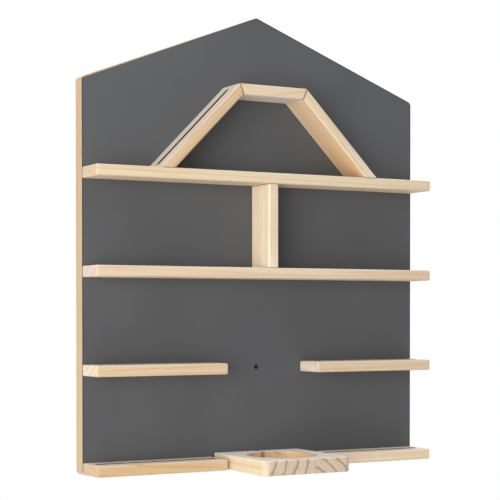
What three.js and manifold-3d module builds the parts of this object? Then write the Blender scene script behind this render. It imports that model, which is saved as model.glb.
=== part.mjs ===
// House-shaped wall shelf for small magnetic figures, with a ring for a round base.
// Lengths are in millimetres. X points to the viewer's right, Y into the wall, Z up.
// The origin lies on the wall, on the centre line, at the height of the two hangers.

import * as THREE from 'three';
import { mergeVertices } from 'three/addons/utils/BufferGeometryUtils.js';
import Module from 'manifold-3d';

const wasm = await Module();
wasm.setup();

// Clearances
const fitGap = 0.3; // left between two pieces that meet
const cutOverrun = 2; // how far a cutter runs past the face that it opens

// House-shaped board and its dark facing
const boardWidth = 500;
const eaveHeight = 495;
const ridgeHeight = 590;
const boardThickness = 19;
const boardCornerRadius = 6;
const boardArris = 0.8;
const facingThickness = 0.7;
const wallHoleDiameter = 6.5;

// Planed strips: shelves, post and roof frame
const stripDepth = 45;
const stripThickness = 14;
const stripArris = 2.2;
const stripEndArris = 1.6;
const bottomStripLift = 1.5; // underside of the lowest strips above the board's lower edge
const bayHeight = 108.5; // clear height between two strips

// Roof frame on the top shelf
const roofFrameHeight = 111.2;
const roofTopLength = 101;
const roofPitch = THREE.MathUtils.degToRad(45);

// Magnetic tape let into the strips
const grooveWidth = 6;
const grooveDepth = 1.6;
const grooveEndDistance = 7;
const tapeThickness = 1.1;

// Holder for a round base
const holderWidth = 128;
const holderDepth = 128;
const holderThickness = 19;
const holderCornerRadius = 8;
const holderBackCornerRadius = 1.8;
const holderArris = 1.5;
const recessDiameter = 91;
const recessDepth = 14;
const recessArris = 1;
const cableSlotWidth = 6;
const holderSideGap = 4; // between the holder and the strip on each side of it

// Wood screws that hold every strip and the holder from behind
const screwDiameter = 4;
const screwLength = 44;
const screwHeadDiameter = 8;
const screwHeadHeight = 2.6;
const screwHeadRim = 0.4;
const screwTipLength = 5;
const screwEndDistance = 36;
const holderScrewEndDistance = 11;
const holderScrewPitch = 17;

// Keyhole hangers let into the back
const hangerShelfDistance = 37; // from the top shelf's upper face to a hanger's centre
const hangerWidth = 17;
const hangerLength = 52;
const hangerThickness = 1.5;
const hangerCornerRadius = 3;
const keyholeDiameter = 9.6;
const keyholeSlotWidth = 5;
const keyholeTravel = 11;
const keyholePocketDepth = 9;
const keyholePocketMargin = 2; // pocket beyond the keyhole's outline
const hangerScrewDiameter = 3;
const hangerScrewLength = 13;
const hangerScrewHeadDiameter = 5.8;
const hangerScrewHeadHeight = 1.4;
const hangerScrewHeadRim = 0.2;
const hangerScrewTipLength = 3;
const hangerScrewEndDistance = 6;

// Facets
const arcFacets = 2;
const roundFacets = 12;
const screwFacets = 12;
const recessFacets = 48;

// Places that follow from the sizes above
const frontFaceY = -(boardThickness + fitGap + facingThickness);
const stripBackY = frontFaceY - fitGap;
const stripPitch = bayHeight + stripThickness;
const shortStripLength = (boardWidth - holderWidth) / 2 - holderSideGap;
const bottomTopZ = bottomStripLift + stripThickness;
const lowerTopZ = bottomTopZ + stripPitch;
const middleTopZ = lowerTopZ + stripPitch;
const upperTopZ = middleTopZ + stripPitch;
const shortStripX = (boardWidth - shortStripLength) / 2;
const holderTopZ = bottomStripLift + holderThickness;
const wallHoleZ = lowerTopZ - stripThickness / 2;
const roofRun = roofFrameHeight / Math.tan(roofPitch);
const roofSlopeLength = roofFrameHeight / Math.sin(roofPitch);
const roofFootZ = upperTopZ + fitGap;
const recessCentreY = -holderDepth / 2;

// Each hanger lies midway between the roof frame's foot and the board's side.
const roofFootX = roofTopLength / 2 + roofRun;
const hangerX = (boardWidth / 2 + roofFootX) / 2;
const hangerHeight = upperTopZ + hangerShelfDistance;

// Materials
const finish = (color, roughness, metalness) =>
  new THREE.MeshStandardMaterial({ color, roughness, metalness });
const pine = finish(0xe6cda6, 0.6, 0);
const boardPine = finish(0xd9bd94, 0.65, 0);
const darkFacing = finish(0x56565a, 0.7, 0);
const tapeBlack = finish(0x1c1b1a, 0.55, 0);
const yellowZinc = finish(0xb9a46a, 0.35, 1);
const plainZinc = finish(0xb8bbbe, 0.35, 1);

// Joining and cutting
function toSolid(geometry) {
  const bare = geometry.clone();
  bare.deleteAttribute('normal');
  bare.deleteAttribute('uv');
  const merged = mergeVertices(bare);
  return new wasm.Manifold(new wasm.Mesh({
    numProp: 3,
    vertProperties: Float32Array.from(merged.attributes.position.array),
    triVerts: Uint32Array.from(merged.index.array),
  }));
}

function toGeometry(solid) {
  const { vertProperties, triVerts } = solid.getMesh();
  const geometry = new THREE.BufferGeometry();
  geometry.setAttribute('position', new THREE.BufferAttribute(vertProperties, 3));
  geometry.setIndex(new THREE.BufferAttribute(triVerts, 1));
  geometry.computeVertexNormals();
  return geometry;
}

function cutAway(geometry, cutters) {
  const cut = cutters.reduce((solid, cutter) => solid.subtract(toSolid(cutter)), toSolid(geometry));
  return toGeometry(cut);
}

function keepInside(geometry, limit) {
  return toGeometry(toSolid(geometry).intersect(toSolid(limit)));
}

// Outlines
function roundedRectangle(width, height, radius) {
  const halfW = width / 2;
  const halfH = height / 2;
  const shape = new THREE.Shape();
  shape.absarc(halfW - radius, halfH - radius, radius, 0, Math.PI / 2);
  shape.absarc(radius - halfW, halfH - radius, radius, Math.PI / 2, Math.PI);
  shape.absarc(radius - halfW, radius - halfH, radius, Math.PI, 1.5 * Math.PI);
  shape.absarc(halfW - radius, radius - halfH, radius, 1.5 * Math.PI, 2 * Math.PI);
  shape.closePath();
  return shape;
}

// Rounds every corner of a convex outline whose corners run anticlockwise.
function roundedOutline(corners, radius) {
  const shape = new THREE.Shape();
  corners.forEach((corner, i) => {
    const before = corners[(i + corners.length - 1) % corners.length];
    const after = corners[(i + 1) % corners.length];
    const arriving = corner.clone().sub(before).normalize();
    const leaving = after.clone().sub(corner).normalize();
    const turn = arriving.angleTo(leaving);
    const tangent = radius * Math.tan(turn / 2);
    const start = corner.clone().addScaledVector(arriving, -tangent);
    const inward = new THREE.Vector2(-arriving.y, arriving.x);
    const centre = start.clone().addScaledVector(inward, radius);
    const from = Math.atan2(-inward.y, -inward.x);
    shape.absarc(centre.x, centre.y, radius, from, from + turn);
  });
  shape.closePath();
  return shape;
}

function houseOutline() {
  const half = boardWidth / 2;
  const corners = [[half, 0], [half, eaveHeight], [0, ridgeHeight], [-half, eaveHeight], [-half, 0]];
  return roundedOutline(corners.map(([x, z]) => new THREE.Vector2(x, z)), boardCornerRadius);
}

// A drawn keyhole: a round entry with a narrower slot above it.
function keyholePath(diameter, slotWidth, travel) {
  const radius = diameter / 2;
  const halfSlot = slotWidth / 2;
  const entryZ = -travel / 2;
  const slotAngle = Math.asin(halfSlot / radius);
  const path = new THREE.Path();
  path.absarc(0, entryZ, radius, Math.PI / 2 - slotAngle, Math.PI / 2 + slotAngle, true);
  path.absarc(0, entryZ + travel, halfSlot, Math.PI, 0, true);
  path.closePath();
  return path;
}

// Directions for extruded outlines
const acrossBoard = new THREE.Matrix4().makeBasis(
  new THREE.Vector3(1, 0, 0), new THREE.Vector3(0, 0, 1), new THREE.Vector3(0, -1, 0));
const alongStrip = new THREE.Matrix4().makeBasis(
  new THREE.Vector3(0, 1, 0), new THREE.Vector3(0, 0, 1), new THREE.Vector3(1, 0, 0));

// Extrudes an outline drawn in X and Z from the plane y = back towards the viewer.
function sheet(outline, back, thickness, arris = 0) {
  const geometry = new THREE.ExtrudeGeometry(outline, {
    depth: thickness - 2 * arris,
    bevelEnabled: arris > 0,
    bevelThickness: arris,
    bevelSize: arris,
    bevelOffset: -arris,
    bevelSegments: 1,
    curveSegments: arcFacets * 2,
  });
  return geometry.translate(0, 0, arris).applyMatrix4(acrossBoard).translate(0, back, 0);
}

// Turned shapes: screws and their holes
function screwProfile(size, grow) {
  const { diameter, length, headDiameter, headHeight, headRim, tipLength } = size;
  const shank = diameter / 2 + grow;
  const head = headDiameter / 2 + grow;
  return [
    new THREE.Vector2(0, -length - grow),
    new THREE.Vector2(shank, -length + tipLength - grow),
    new THREE.Vector2(shank, -headHeight),
    new THREE.Vector2(head, -headRim),
  ];
}

function screwBody(size) {
  const profile = screwProfile(size, 0);
  profile.push(new THREE.Vector2(size.headDiameter / 2, 0), new THREE.Vector2(0, 0));
  return new THREE.LatheGeometry(profile, screwFacets);
}

function screwHole(size) {
  const profile = screwProfile(size, fitGap);
  profile.push(new THREE.Vector2(size.headDiameter / 2 + fitGap, cutOverrun));
  profile.push(new THREE.Vector2(0, cutOverrun));
  return new THREE.LatheGeometry(profile, screwFacets);
}

const stripScrew = {
  diameter: screwDiameter,
  length: screwLength,
  headDiameter: screwHeadDiameter,
  headHeight: screwHeadHeight,
  headRim: screwHeadRim,
  tipLength: screwTipLength,
};
const hangerScrew = {
  diameter: hangerScrewDiameter,
  length: hangerScrewLength,
  headDiameter: hangerScrewHeadDiameter,
  headHeight: hangerScrewHeadHeight,
  headRim: hangerScrewHeadRim,
  tipLength: hangerScrewTipLength,
};

// Strips, whose own frame has its origin at the middle of the top back edge
function spread(count, length, endDistance) {
  const reach = length / 2 - endDistance;
  return Array.from({ length: count }, (unused, i) => -reach + (2 * reach * i) / (count - 1));
}

const longStrip = { length: boardWidth, screws: 4, taped: true };
const shortStrip = { length: shortStripLength, screws: 2, taped: true };

const strips = [
  { name: 'top_shelf', x: 0, z: upperTopZ, ...longStrip },
  { name: 'middle_shelf', x: 0, z: middleTopZ, ...longStrip },
  { name: 'lower_shelf_left', x: -shortStripX, z: lowerTopZ, ...shortStrip },
  { name: 'lower_shelf_right', x: shortStripX, z: lowerTopZ, ...shortStrip },
  { name: 'bottom_shelf_left', x: -shortStripX, z: bottomTopZ, ...shortStrip },
  { name: 'bottom_shelf_right', x: shortStripX, z: bottomTopZ, ...shortStrip },
  {
    name: 'divider_post',
    length: bayHeight - 2 * fitGap,
    x: -stripThickness / 2,
    z: middleTopZ + bayHeight / 2,
    turn: Math.PI / 2,
    screws: 2,
  },
  {
    name: 'roof_slope_left',
    length: roofSlopeLength,
    x: -(roofFootX + roofTopLength / 2) / 2,
    z: roofFootZ + roofFrameHeight / 2,
    turn: roofPitch,
    mitres: [Math.PI / 2 - roofPitch, roofPitch / 2],
    endGaps: [0, fitGap / 2],
    screws: 2,
    taped: true,
  },
  {
    name: 'roof_top',
    length: roofTopLength,
    x: 0,
    z: roofFootZ + roofFrameHeight,
    mitres: [roofPitch / 2, roofPitch / 2],
    endGaps: [fitGap / 2, fitGap / 2],
    screws: 2,
    screwEnd: stripThickness + grooveEndDistance,
    taped: true,
  },
  {
    name: 'roof_slope_right',
    length: roofSlopeLength,
    x: (roofFootX + roofTopLength / 2) / 2,
    z: roofFootZ + roofFrameHeight / 2,
    turn: -roofPitch,
    mitres: [roofPitch / 2, Math.PI / 2 - roofPitch],
    endGaps: [fitGap / 2, 0],
    screws: 2,
    taped: true,
  },
];

const stripScrewPlaces = ({ screws, length, screwEnd = screwEndDistance }) =>
  spread(screws, length, screwEnd);

// A planed length with eased arrises and, unless it is mitred later, eased ends.
function planedLength(length, endArris) {
  const section = roundedRectangle(stripDepth, stripThickness, stripArris);
  const geometry = new THREE.ExtrudeGeometry(section, {
    depth: length - 2 * endArris,
    bevelEnabled: endArris > 0,
    bevelThickness: endArris,
    bevelSize: endArris,
    bevelOffset: -endArris,
    bevelSegments: arcFacets,
    curveSegments: arcFacets,
  });
  geometry.translate(0, 0, endArris - length / 2).applyMatrix4(alongStrip);
  return geometry.translate(0, -stripDepth / 2, -stripThickness / 2);
}

// The space between the two saw cuts of a mitred strip, measured on its outer face.
function mitreLimit({ length, mitres: [start, end], endGaps: [startGap, endGap] }) {
  const top = cutOverrun;
  const bottom = -stripThickness - cutOverrun;
  const left = (z) => -length / 2 + startGap / Math.cos(start) - z * Math.tan(start);
  const right = (z) => length / 2 - endGap / Math.cos(end) + z * Math.tan(end);
  const shape = new THREE.Shape([
    new THREE.Vector2(left(bottom), bottom),
    new THREE.Vector2(right(bottom), bottom),
    new THREE.Vector2(right(top), top),
    new THREE.Vector2(left(top), top),
  ]);
  return sheet(shape, cutOverrun, stripDepth + 2 * cutOverrun);
}

// A stopped slot with round ends, as the router leaves it.
function stoppedSlot(length, width, top, bottom) {
  const outline = roundedRectangle(length, width, width / 2);
  const geometry = new THREE.ExtrudeGeometry(outline, {
    depth: top - bottom,
    bevelEnabled: false,
    curveSegments: arcFacets,
  });
  return geometry.translate(0, -stripDepth / 2, bottom);
}

const grooveLength = (length) => length - 2 * grooveEndDistance;

function stripGeometry(strip) {
  const { length, mitres, taped } = strip;
  const whole = planedLength(length + (mitres ? 2 * stripThickness : 0), mitres ? 0 : stripEndArris);
  const blank = mitres ? keepInside(whole, mitreLimit(strip)) : whole;
  const holes = stripScrewPlaces(strip).map((x) =>
    screwHole(stripScrew).translate(x, -fitGap - stripBackY, -stripThickness / 2));
  if (taped) {
    holes.push(stoppedSlot(grooveLength(length), grooveWidth, cutOverrun, -grooveDepth));
  }
  return cutAway(blank, holes);
}

function tapeGeometry(length) {
  const top = tapeThickness + fitGap - grooveDepth;
  const width = grooveWidth - 2 * fitGap;
  return stoppedSlot(grooveLength(length) - 2 * fitGap, width, top, top - tapeThickness);
}

// Where a strip's screw enters the board, from its place along the strip
function onBoard({ x, z, turn = 0 }, along) {
  const place = new THREE.Vector2(along, -stripThickness / 2);
  return place.rotateAround(new THREE.Vector2(), turn).add(new THREE.Vector2(x, z));
}

// Holder
const holderScrewPlaces = [-1, 1].flatMap((side) => [0, 1].map((i) =>
  side * (holderWidth / 2 - holderScrewEndDistance - i * holderScrewPitch)));

function holderBlank() {
  const half = holderWidth / 2;
  const front = holderCornerRadius;
  const back = holderBackCornerRadius;
  const outline = new THREE.Shape();
  outline.absarc(back - half, -back, back, Math.PI / 2, Math.PI);
  outline.absarc(front - half, front - holderDepth, front, Math.PI, 1.5 * Math.PI);
  outline.absarc(half - front, front - holderDepth, front, 1.5 * Math.PI, 2 * Math.PI);
  outline.absarc(half - back, -back, back, 0, Math.PI / 2);
  outline.closePath();
  const geometry = new THREE.ExtrudeGeometry(outline, {
    depth: holderThickness - 2 * holderArris,
    bevelEnabled: true,
    bevelThickness: holderArris,
    bevelSize: holderArris,
    bevelOffset: -holderArris,
    bevelSegments: arcFacets,
    curveSegments: arcFacets * 2,
  });
  return geometry.translate(0, 0, holderArris - holderThickness);
}

function recessCutter() {
  const radius = recessDiameter / 2;
  const profile = [
    new THREE.Vector2(0, -recessDepth),
    new THREE.Vector2(radius, -recessDepth),
    new THREE.Vector2(radius, -recessArris),
    new THREE.Vector2(radius + recessArris, 0),
    new THREE.Vector2(radius + recessArris, cutOverrun),
    new THREE.Vector2(0, cutOverrun),
  ];
  const turned = new THREE.LatheGeometry(profile, recessFacets);
  return turned.rotateX(Math.PI / 2).translate(0, recessCentreY, 0);
}

function cableSlotCutter() {
  const run = cutOverrun - recessCentreY;
  const height = recessDepth + cutOverrun;
  const slot = new THREE.BoxGeometry(cableSlotWidth, run, height);
  return slot.translate(0, cutOverrun - run / 2, cutOverrun - height / 2);
}

function holderGeometry() {
  const holes = holderScrewPlaces.map((x) =>
    screwHole(stripScrew).translate(x, -fitGap - stripBackY, -holderThickness / 2));
  return cutAway(holderBlank(), [recessCutter(), cableSlotCutter(), ...holes]);
}

// Hangers, whose own frame has its origin at the centre of the plate's outer face
const hangerScrewPlaces = [-1, 1].map((side) => side * (hangerLength / 2 - hangerScrewEndDistance));
const hangerPlaces = [-hangerX, hangerX];

function hangerGeometry() {
  const outline = roundedRectangle(hangerWidth, hangerLength, hangerCornerRadius);
  outline.holes.push(keyholePath(keyholeDiameter, keyholeSlotWidth, keyholeTravel));
  const holes = hangerScrewPlaces.map((z) => screwHole(hangerScrew).translate(0, 0, z));
  return cutAway(sheet(outline, 0, hangerThickness), holes);
}

function hangerRecessCutters() {
  const seatWidth = hangerWidth + 2 * fitGap;
  const seat = roundedRectangle(seatWidth, hangerLength + 2 * fitGap, hangerCornerRadius + fitGap);
  const pocketWidth = keyholeDiameter + 2 * keyholePocketMargin;
  const pocket = roundedRectangle(pocketWidth, pocketWidth + keyholeTravel, pocketWidth / 2);
  return [
    sheet(seat, cutOverrun, cutOverrun + hangerThickness + 2 * fitGap),
    sheet(pocket, cutOverrun, cutOverrun + keyholePocketDepth),
    ...hangerScrewPlaces.map((z) => screwHole(hangerScrew).translate(0, -fitGap, z)),
  ];
}

// Every wood screw: the piece that it holds, and its place on the board
const fasteners = [
  ...strips.flatMap((strip) =>
    stripScrewPlaces(strip).map((along, i) => ({
      name: `screw_${strip.name}_${i + 1}`,
      place: onBoard(strip, along),
    }))),
  ...holderScrewPlaces.map((x, i) => ({
    name: `screw_holder_${i + 1}`,
    place: new THREE.Vector2(x, holderTopZ - holderThickness / 2),
  })),
];

function wallHoleCutter(back, thickness) {
  const outline = new THREE.Shape().absarc(0, wallHoleZ, wallHoleDiameter / 2, 0, 2 * Math.PI);
  const geometry = new THREE.ExtrudeGeometry(outline, {
    depth: thickness + 2 * cutOverrun,
    bevelEnabled: false,
    curveSegments: roundFacets,
  });
  return geometry.applyMatrix4(acrossBoard).translate(0, back + cutOverrun, 0);
}

const fastenerHoles = () =>
  fasteners.map(({ place }) => screwHole(stripScrew).translate(place.x, -fitGap, place.y));

function boardGeometry() {
  const hangerCuts = hangerPlaces.flatMap((x) =>
    hangerRecessCutters().map((cutter) => cutter.translate(x, 0, hangerHeight)));
  const board = sheet(houseOutline(), 0, boardThickness, boardArris);
  return cutAway(board, [...fastenerHoles(), wallHoleCutter(0, boardThickness), ...hangerCuts]);
}

function facingGeometry() {
  const back = -boardThickness - fitGap;
  const sheetOfFacing = sheet(houseOutline(), back, facingThickness);
  return cutAway(sheetOfFacing, [...fastenerHoles(), wallHoleCutter(back, facingThickness)]);
}

// Assembly
const shelf = new THREE.Group();
shelf.position.z = -hangerHeight;

function addPiece(parent, name, geometry, material, x, y, z) {
  const mesh = new THREE.Mesh(geometry, material);
  mesh.name = name;
  mesh.position.set(x, y, z);
  parent.add(mesh);
}

addPiece(shelf, 'back_board', boardGeometry(), boardPine, 0, 0, 0);
addPiece(shelf, 'front_facing', facingGeometry(), darkFacing, 0, 0, 0);

strips.forEach((strip) => {
  const { name, length, x, z, turn = 0, taped } = strip;
  const seat = new THREE.Group();
  seat.position.set(x, stripBackY, z);
  seat.rotation.y = -turn;
  shelf.add(seat);
  addPiece(seat, name, stripGeometry(strip), pine, 0, 0, 0);
  if (taped) {
    addPiece(seat, `tape_${name}`, tapeGeometry(length), tapeBlack, 0, 0, 0);
  }
});

addPiece(shelf, 'base_holder', holderGeometry(), pine, 0, stripBackY, holderTopZ);

fasteners.forEach(({ name, place }) => {
  addPiece(shelf, name, screwBody(stripScrew), yellowZinc, place.x, -fitGap, place.y);
});

['left', 'right'].forEach((side, i) => {
  const hanger = new THREE.Group();
  hanger.position.set(hangerPlaces[i], -fitGap, hangerHeight);
  shelf.add(hanger);
  addPiece(hanger, `hanger_${side}`, hangerGeometry(), plainZinc, 0, 0, 0);
  hangerScrewPlaces.forEach((z, n) => {
    const name = `hanger_screw_${side}_${n + 1}`;
    addPiece(hanger, name, screwBody(hangerScrew), plainZinc, 0, 0, z);
  });
});

export default shelf;
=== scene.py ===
"""House-shaped wall shelf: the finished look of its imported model.

Lengths are in metres. X points to the viewer's right, Y into the wall and Z up. The origin lies
on the wall, on the shelf's centre line, level with its two hangers.
"""

import math

import bmesh
import bpy
from mathutils import Euler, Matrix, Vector


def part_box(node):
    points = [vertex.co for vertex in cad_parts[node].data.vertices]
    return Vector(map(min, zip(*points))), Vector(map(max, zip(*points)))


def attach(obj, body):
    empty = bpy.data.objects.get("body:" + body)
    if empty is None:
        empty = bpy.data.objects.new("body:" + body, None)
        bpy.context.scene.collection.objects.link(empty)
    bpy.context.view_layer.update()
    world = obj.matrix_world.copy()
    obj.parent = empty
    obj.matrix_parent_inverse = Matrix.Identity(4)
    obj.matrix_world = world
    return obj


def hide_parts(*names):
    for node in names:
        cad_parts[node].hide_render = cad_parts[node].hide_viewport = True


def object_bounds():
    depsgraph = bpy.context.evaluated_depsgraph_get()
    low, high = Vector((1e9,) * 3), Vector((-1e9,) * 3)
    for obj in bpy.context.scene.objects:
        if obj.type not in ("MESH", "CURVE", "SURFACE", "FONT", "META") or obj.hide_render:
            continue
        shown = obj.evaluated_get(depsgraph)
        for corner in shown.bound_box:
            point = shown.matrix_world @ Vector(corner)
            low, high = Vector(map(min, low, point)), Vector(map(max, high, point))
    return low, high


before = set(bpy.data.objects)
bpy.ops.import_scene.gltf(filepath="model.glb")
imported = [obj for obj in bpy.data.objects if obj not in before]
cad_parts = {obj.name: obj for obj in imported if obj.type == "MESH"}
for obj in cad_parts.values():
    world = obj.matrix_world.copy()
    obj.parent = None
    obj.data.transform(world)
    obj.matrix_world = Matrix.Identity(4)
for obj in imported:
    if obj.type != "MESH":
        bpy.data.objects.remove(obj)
packed_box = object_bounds()

MM = 0.001
X, Y, Z = range(3)

# Board and facing
EAVE_HEIGHT = 495 * MM
RIDGE_HEIGHT = 590 * MM
BOARD_CORNER = 6 * MM
BOARD_ARRIS = 0.8 * MM
FACING_ARRIS = 0.15 * MM
EAVE_SHOWS = 2.2 * MM
RIDGE_SHOWS = 0.5 * MM
WALL_HOLE = 6.5 * MM
WALL_HOLE_REACH = 40 * MM

# Planed strips
STRIP_ARRIS = 2.2 * MM
STRIP_END_ARRIS = 1.6 * MM
STRIP_BACK_ARRIS = 1 * MM
MITRE_ARRIS = 0.25 * MM
MITRE_GAP = 0.1 * MM
FIT_GAP = 0.3 * MM
ROOF_TOP_LENGTH = 101 * MM

# Tape and its groove
GROOVE_WIDTH = 6 * MM
GROOVE_DEPTH = 1.6 * MM
GROOVE_ARRIS = 0.25 * MM
GROOVE_END = 7 * MM
ROUND_END = 0.98  # share of half the width that each corner takes at a round end
TAPE_THICKNESS = 1.5 * MM
TAPE_ARRIS = 0.15 * MM

# Holder
HOLDER_FRONT_CORNER = 10 * MM
HOLDER_BACK_CORNER = 1.8 * MM
HOLDER_ARRIS = 1.5 * MM
RECESS_WIDTH = 91 * MM
RECESS_DEPTH = 14 * MM
RECESS_ARRIS = 1 * MM
RECESS_FILLET = 0.5 * MM
CABLE_SLOT_WIDTH = 6 * MM

# Wood screws. Their point, head, shank, core and crest are given as radii, and the drive as the
# width, the blade's thickness and the depth of the cross recess.
SCREW_LENGTH = 44 * MM
SCREW_TIP = 5 * MM
SCREW_POINT = 0.1 * MM
SCREW_HEAD = 4 * MM
SCREW_HEAD_RIM = 0.4 * MM
SCREW_HEAD_ARRIS = 0.15 * MM
SCREW_RIM_ARRIS = 0.1 * MM
SCREW_HEAD_HEIGHT = 2.6 * MM
SCREW_NECK = 0.4 * MM
SCREW_SHANK = 1.75 * MM
SCREW_CORE = 1.4 * MM
SCREW_CREST = 2 * MM
SCREW_THREAD = 27 * MM
SCREW_PITCH = 2 * MM
SCREW_DRIVE = (4.6 * MM, 1.1 * MM, 2.4 * MM)
THREAD_RUN_OUT = 1 * MM
THREAD_STEPS = 20  # in one turn
THREAD_LIFT = 0.2  # share of the thread's depth that its section is lifted off the core by
DRIVE_ABOVE = 1 * MM  # how far above the head's face the recess's taper starts
DRIVE_TAPER = (0.35, 0.7, 1)  # a blade's size at its bottom, as shares of that at its top

# Hangers and their screws, given in the same way
HANGER_CORNER = 3 * MM
HANGER_ARRIS = 0.15 * MM
KEYHOLE_WIDTH = 9.6 * MM
KEYHOLE_SLOT = 5 * MM
KEYHOLE_TRAVEL = 11 * MM
POCKET_MARGIN = 2 * MM
POCKET_DEPTH = 9 * MM
PLATE_CUT = 4 * MM
HANGER_SCREW_HEAD = 2.9 * MM
HANGER_SCREW_HEAD_HEIGHT = 1.4 * MM
HANGER_SCREW_RIM = 0.2 * MM
HANGER_SCREW_ARRIS = 0.1 * MM
HANGER_SCREW_NECK = 0.2 * MM
HANGER_SCREW_SHOULDER = 0.3 * MM
HANGER_SCREW_SHANK = 1.5 * MM
HANGER_SCREW_CORE = 1.1 * MM
HANGER_SCREW_LENGTH = 13 * MM
HANGER_SCREW_TIP = 3 * MM
HANGER_SCREW_PITCH = 1.2 * MM
HANGER_SCREW_DRIVE = (3.2 * MM, 0.8 * MM, 1.6 * MM)

# Screw holes end in a blunt point of this radius.
SCREW_HOLE_POINT = 0.4 * MM
HANGER_SCREW_HOLE_POINT = 0.2 * MM

# Steps that the roundings are made in
CORNER_STEPS = 8
BOARD_ARRIS_STEPS = 3
STRIP_ARRIS_STEPS = 6
STRIP_END_STEPS = 4
STRIP_BACK_STEPS = 3
SMALL_ARRIS_STEPS = 2
HOLDER_FRONT_STEPS = 10
HOLDER_BACK_STEPS = 4
HOLDER_ARRIS_STEPS = 5
RECESS_ARRIS_STEPS = 5

# Sides of what is turned
SCREW_SIDES = 40
HANGER_SCREW_SIDES = 36
SCREW_HOLE_SIDES = 32
WALL_HOLE_SIDES = 40
KEYHOLE_SIDES = 48
RECESS_SIDES = 128

# Steepest angle, in degrees, that smooth shading runs over
SMOOTH_ANGLE = 32
SCREW_SMOOTH_ANGLE = 40
PLATE_EDGE_ANGLE = 50  # a plate's edges sharper than this are eased

OVERRUN = 2 * MM  # how far a cutter runs past the face that it opens
TOUCH = 0.01 * MM  # two places nearer than this count as one
PARALLEL = 0.999  # two directions count as one when their cosine is over this

# Every strip is the same stock
stock_low, stock_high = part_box("top_shelf")
STRIP_DEPTH = stock_high.y - stock_low.y
STRIP_THICKNESS = stock_high.z - stock_low.z
STRIP_BACK = stock_high.y


# Shaping

def only(piece):
    """Makes the piece the one that is selected and active."""
    bpy.ops.object.select_all(action="DESELECT")
    piece.select_set(True)
    bpy.context.view_layer.objects.active = piece


def settle(piece):
    """Applies the piece's place, turn and scale to its mesh."""
    only(piece)
    bpy.ops.object.transform_apply(location=True, rotation=True, scale=True)
    return piece


def block(name, low, high):
    """A rectangular block between two opposite corners."""
    low, high = Vector(low), Vector(high)
    bpy.ops.object.select_all(action="DESELECT")
    bpy.ops.mesh.primitive_cube_add(size=1, location=(low + high) / 2)
    piece = bpy.context.object
    piece.name = name
    piece.scale = high - low
    return settle(piece)


def turned(name, profile, sides):
    """A piece turned on the Z axis, from (radius, height) points that run upwards."""
    (first, bottom), (second, top), *others = profile
    bpy.ops.object.select_all(action="DESELECT")
    bpy.ops.mesh.primitive_cone_add(vertices=sides, radius1=first, radius2=second,
                                    depth=top - bottom, location=(0, 0, (bottom + top) / 2))
    piece = settle(bpy.context.object)
    piece.name = name
    only(piece)
    bpy.ops.object.mode_set(mode="EDIT")
    choose_faces(piece, lambda face: face.normal.z > PARALLEL)
    radius, height = second, top
    for wider, higher in others:
        rise = {"value": (0, 0, higher - height)}
        bpy.ops.mesh.extrude_region_move(TRANSFORM_OT_translate=rise)
        growth = wider / radius
        bpy.ops.transform.resize(value=(growth, growth, 1), center_override=(0, 0, higher))
        radius, height = wider, higher
    bpy.ops.object.mode_set(mode="OBJECT")
    return piece


def choose_faces(piece, wanted):
    """Selects the faces that pass the test, in edit mode."""
    shape = bmesh.from_edit_mesh(piece.data)
    bpy.ops.mesh.select_mode(type="FACE")
    bpy.ops.mesh.select_all(action="DESELECT")
    for face in shape.faces:
        face.select_set(wanted(face))
    bmesh.update_edit_mesh(piece.data)


def choose_edges(piece, wanted):
    """Selects the edges whose two ends pass the test, in edit mode."""
    shape = bmesh.from_edit_mesh(piece.data)
    bpy.ops.mesh.select_mode(type="EDGE")
    bpy.ops.mesh.select_all(action="DESELECT")
    for edge in shape.edges:
        edge.select_set(wanted(*(corner.co for corner in edge.verts)))
    bmesh.update_edit_mesh(piece.data)


def round_edges(piece, radius, segments, wanted):
    """Rounds the edges whose two ends pass the test."""
    only(piece)
    bpy.ops.object.mode_set(mode="EDIT")
    choose_edges(piece, wanted)
    bpy.ops.mesh.bevel(offset=radius, segments=segments, affect="EDGES", clamp_overlap=False)
    bpy.ops.object.mode_set(mode="OBJECT")


def running(axis):
    """Passes the edges that run along one axis."""
    return lambda a, b: abs((b - a)[axis]) > PARALLEL * (b - a).length


def lying_at(axis, *places):
    """Passes the edges that lie at one of these places on an axis."""
    return lambda a, b: any(abs(a[axis] - place) < TOUCH and abs(b[axis] - place) < TOUCH
                            for place in places)


def lying_on(point, normal):
    """Passes the edges that lie on a plane."""
    return lambda a, b: all(abs((end - point).dot(normal)) < TOUCH for end in (a, b))


def passing(*tests):
    """Passes the edges that pass every one of these tests."""
    return lambda a, b: all(test(a, b) for test in tests)


def saw(piece, point, normal):
    """Saws off what lies beyond a plane and closes the cut."""
    only(piece)
    bpy.ops.object.mode_set(mode="EDIT")
    bpy.ops.mesh.select_all(action="SELECT")
    bpy.ops.mesh.bisect(plane_co=point, plane_no=normal, use_fill=True, clear_outer=True)
    bpy.ops.object.mode_set(mode="OBJECT")


def joined(pieces):
    """Joins pieces into the first one."""
    first, *others = pieces
    only(first)
    for other in others:
        other.select_set(True)
    if others:
        bpy.ops.object.join()
    return first


def apply_modifier(piece, kind, **settings):
    """Adds a modifier with these settings and applies it."""
    only(piece)
    bpy.ops.object.modifier_add(type=kind)
    modifier = piece.modifiers[-1]
    for name, value in settings.items():
        setattr(modifier, name, value)
    bpy.ops.object.modifier_apply(modifier=modifier.name)


def cut(piece, cutters):
    """Cuts the cutters, which don't meet each other, out of the piece, and clears them away."""
    cutter = joined(cutters)
    apply_modifier(piece, "BOOLEAN", operation="DIFFERENCE", solver="EXACT", object=cutter)
    bpy.data.objects.remove(cutter)


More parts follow.
